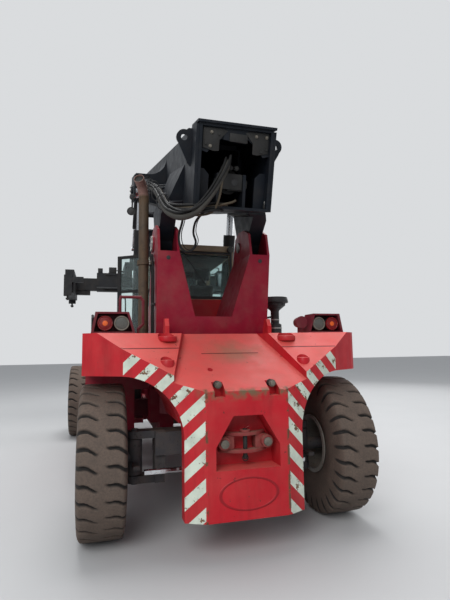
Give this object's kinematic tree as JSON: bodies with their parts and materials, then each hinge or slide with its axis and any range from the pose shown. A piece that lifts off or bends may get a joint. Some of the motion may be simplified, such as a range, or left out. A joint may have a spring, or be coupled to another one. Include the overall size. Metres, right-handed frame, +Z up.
{
  "type": "reach stacker",
  "caption": "Reach stacker: counterweighted chassis on steered rear and twin front wheels, centre cab, luffing telescopic boom and a turning, sliding container spreader.",
  "frame": {"origin": "on the ground under the middle of the overall box; the spreader stands shifted 0.64 m to the right, so the chassis centre plane is at x = -0.64", "axes": "+Y forwards, from the counterweight to the spreader; +X to the machine's right; +Z up"},
  "size_m": [6.058, 11.3002, 7.0384],
  "materials": {
    "red_paint": "faded gloss",
    "crimson_paint": "faded gloss",
    "boom_paint": "satin",
    "black_paint": "satin",
    "axle_paint": "dusty",
    "pin_steel": "dull",
    "cast_iron": "rough",
    "chrome_rod": "polished",
    "lamp_lens": "gloss",
    "rusty_pipe": "rusty",
    "black_plastic": "matt",
    "beige_paint": "satin",
    "tinted_glass": "tinted",
    "seat_fabric": "matt",
    "rim_paint": "dusty",
    "tyre_rubber": "dusty"
  },
  "bodies": {
    "chassis": {"main_frame": "crimson_paint", "counterweight": "red_paint", "tow_coupling": "crimson_paint", "boom_towers": "crimson_paint", "chassis_pins": "pin_steel", "lamp_boxes": "crimson_paint", "rear_lamps": "lamp_lens", "steer_axle": "axle_paint", "drive_axle": "axle_paint", "engine_block": "cast_iron", "engine_cover": "crimson_paint", "fuel_tank": "crimson_paint", "hydraulic_tank": "crimson_paint", "decks_and_steps": "crimson_paint", "handrails": "black_paint", "exhaust_pipe": "rusty_pipe", "air_precleaner": "black_plastic", "cab_base": "red_paint", "cab_frame": "beige_paint", "cab_glass": "tinted_glass", "driver_seat": "seat_fabric", "dashboard": "black_plastic"},
    "cab_door": {"cab_door_frame": "black_paint", "cab_door_glass": "tinted_glass"},
    "boom": {"boom_outer": "boom_paint", "telescope_barrel": "pin_steel"},
    "inner_boom": {"boom_inner": "boom_paint", "boom_head": "boom_paint"},
    "lift_barrel_l": {"lift_barrel_left": "black_paint"},
    "lift_barrel_r": {"lift_barrel_right": "black_paint"},
    "lift_rod_l": {"lift_rod_left": "chrome_rod"},
    "lift_rod_r": {"lift_rod_right": "chrome_rod"},
    "damper_barrel_pair": {"damper_barrels": "black_paint"},
    "damper_rod_pair": {"damper_rods": "chrome_rod"},
    "yoke": {"tilt_yoke": "boom_paint"},
    "carriage": {"slewing_carriage": "black_paint"},
    "spreader": {"spreader_frame": "black_paint"},
    "beam_l": {"spreader_beam_left": "black_paint"},
    "beam_r": {"spreader_beam_right": "black_paint"},
    "steering_rod": {"steer_rod": "chrome_rod"},
    "knuckle_l": {"knuckle_left": "axle_paint"},
    "knuckle_r": {"knuckle_right": "axle_paint"},
    "wheel_rear_l": {"rim_rear_left": "rim_paint", "tyre_rear_left": "tyre_rubber"},
    "wheel_rear_r": {"rim_rear_right": "rim_paint", "tyre_rear_right": "tyre_rubber"},
    "wheels_front_l": {"rims_front_left": "rim_paint", "tyres_front_left": "tyre_rubber"},
    "wheels_front_r": {"rims_front_right": "rim_paint", "tyres_front_right": "tyre_rubber"}
  },
  "joints": [
    {"name": "boom_luff", "type": "hinge", "parent": "chassis", "child": "boom", "pos_m": [-0.64, -3.95015, 3.4], "axis": [1, 0, 0], "range_deg": [-16, 44]},
    {"name": "boom_telescope", "type": "slide", "parent": "boom", "child": "inner_boom", "axis": [0, -0.9613, -0.2756], "range_m": [-5.5, 0]},
    {"name": "lift_swing_left", "type": "hinge", "parent": "chassis", "child": "lift_barrel_l", "pos_m": [-1.42, -1.65015, 0.95], "axis": [1, 0, 0], "range_deg": [-5, 13]},
    {"name": "lift_swing_right", "type": "hinge", "parent": "chassis", "child": "lift_barrel_r", "pos_m": [0.14, -1.65015, 0.95], "axis": [1, 0, 0], "range_deg": [-5, 13]},
    {"name": "lift_stroke_left", "type": "slide", "parent": "lift_barrel_l", "child": "lift_rod_l", "axis": [0, -0.2468, 0.9691], "range_m": [-0.42, 1.1]},
    {"name": "lift_stroke_right", "type": "slide", "parent": "lift_barrel_r", "child": "lift_rod_r", "axis": [0, -0.2468, 0.9691], "range_m": [-0.42, 1.1]},
    {"name": "spreader_tilt", "type": "hinge", "parent": "inner_boom", "child": "yoke", "pos_m": [-0.64, 4.45015, 5.70055], "axis": [-1, 0, 0], "range_deg": [-20, 50]},
    {"name": "damper_swing", "type": "hinge", "parent": "inner_boom", "child": "damper_barrel_pair", "pos_m": [-0.64, 2.76961, 6.49303], "axis": [1, 0, 0], "range_deg": [-3, 3]},
    {"name": "damper_stroke", "type": "slide", "parent": "damper_barrel_pair", "child": "damper_rod_pair", "axis": [0, 0.6658, -0.7461], "range_m": [-0.62, 0.26]},
    {"name": "spreader_rotate", "type": "hinge", "parent": "yoke", "child": "carriage", "pos_m": [-0.64, 4.45015, 4.70055], "axis": [0, 0, 1], "range_deg": [-105, 195]},
    {"name": "spreader_side_shift", "type": "slide", "parent": "carriage", "child": "spreader", "axis": [1, 0, 0], "range_m": [-1.44, 0.16]},
    {"name": "beam_extend_left", "type": "slide", "parent": "spreader", "child": "beam_l", "axis": [-1, 0, 0], "range_m": [0, 3.04]},
    {"name": "beam_extend_right", "type": "slide", "parent": "spreader", "child": "beam_r", "axis": [1, 0, 0], "range_m": [0, 3.04]},
    {"name": "steer_left", "type": "hinge", "parent": "chassis", "child": "knuckle_l", "pos_m": [-1.655, -4.64015, 0.81], "axis": [0, 0, 1], "range_deg": [-45, 45]},
    {"name": "steer_right", "type": "hinge", "parent": "chassis", "child": "knuckle_r", "pos_m": [0.375, -4.64015, 0.81], "axis": [0, 0, 1], "range_deg": [-45, 45]},
    {"name": "steer_stroke", "type": "slide", "parent": "chassis", "child": "steering_rod", "axis": [1, 0, 0], "range_m": [-0.21, 0.21]},
    {"name": "wheel_spin_rear_left", "type": "hinge", "parent": "knuckle_l", "child": "wheel_rear_l", "pos_m": [-2.01, -4.64015, 0.81], "axis": [1, 0, 0], "continuous": true},
    {"name": "wheel_spin_rear_right", "type": "hinge", "parent": "knuckle_r", "child": "wheel_rear_r", "pos_m": [0.73, -4.64015, 0.81], "axis": [1, 0, 0], "continuous": true},
    {"name": "wheel_spin_front_left", "type": "hinge", "parent": "chassis", "child": "wheels_front_l", "pos_m": [-1.905, 1.60985, 0.81], "axis": [1, 0, 0], "continuous": true},
    {"name": "wheel_spin_front_right", "type": "hinge", "parent": "chassis", "child": "wheels_front_r", "pos_m": [0.625, 1.60985, 0.81], "axis": [1, 0, 0], "continuous": true},
    {"name": "cab_door_swing", "type": "hinge", "parent": "chassis", "child": "cab_door", "pos_m": [-1.27, -3.23015, 2.5], "axis": [0, 0, 1], "range_deg": [-55.5, 34.5]}
  ],
  "couplings": [
    {"joint": "lift_swing_left", "follows": "boom_luff", "ratio": 0.255},
    {"joint": "lift_swing_right", "follows": "boom_luff", "ratio": 0.255},
    {"joint": "lift_stroke_left", "follows": "boom_luff", "m_per_rad": 1.415},
    {"joint": "lift_stroke_right", "follows": "boom_luff", "m_per_rad": 1.415},
    {"joint": "damper_swing", "follows": "spreader_tilt", "ratio": 0.035},
    {"joint": "damper_stroke", "follows": "spreader_tilt", "m_per_rad": -0.705},
    {"joint": "beam_extend_right", "follows": "beam_extend_left", "ratio": 1},
    {"joint": "steer_right", "follows": "steer_left", "ratio": 1},
    {"joint": "steer_stroke", "follows": "steer_left", "m_per_rad": 0.234}
  ]
}
